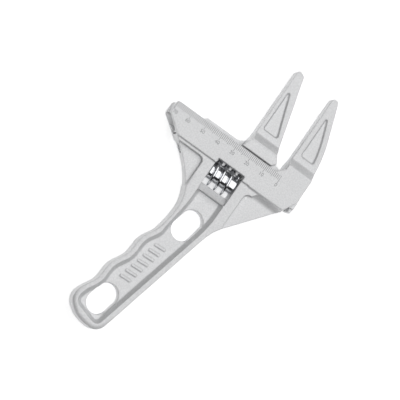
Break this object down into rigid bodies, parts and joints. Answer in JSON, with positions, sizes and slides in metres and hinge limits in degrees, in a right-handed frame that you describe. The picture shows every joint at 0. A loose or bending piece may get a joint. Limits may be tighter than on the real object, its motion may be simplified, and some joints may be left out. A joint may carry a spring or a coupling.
{
  "type": "adjustable wrench",
  "caption": "Short-handled wide-jaw adjustable wrench: a cast body with a fixed jaw and a channelled head, a sliding jaw with a rack, and a worm in a window that drives it.",
  "frame": {"origin": "on the back face of the head, under the zero mark: in the plane of the fixed jaw's gripping face and level with the head's top edge", "axes": "+X along the head towards the fixed jaw, +Y towards the jaw tips, +Z out of the front face that carries the scale"},
  "size_m": [0.0872, 0.182, 0.017],
  "materials": {
    "cast_body": "satin, shot-blasted",
    "cast_jaw": "satin, shot-blasted",
    "worm_plate": "polished plating",
    "pin_steel": "turned",
    "spring_steel": "drawn wire"
  },
  "bodies": {
    "frame": {"body": "cast_body", "worm_pin": "pin_steel", "worm_spring": "spring_steel"},
    "jaw": {"sliding_jaw": "cast_jaw"},
    "knurl": {"worm": "worm_plate"}
  },
  "joints": [
    {"name": "jaw_slide", "type": "slide", "parent": "frame", "child": "jaw", "axis": [-1, 0, 0], "range_m": [0, 0.045]},
    {"name": "worm_spin", "type": "hinge", "parent": "frame", "child": "knurl", "pos_m": [-0.02535, -0.0198, 0.0085], "axis": [1, 0, 0], "range_deg": [0, 3601]}
  ],
  "couplings": [
    {"joint": "worm_spin", "follows": "jaw_slide", "rad_per_m": 1396.3}
  ]
}
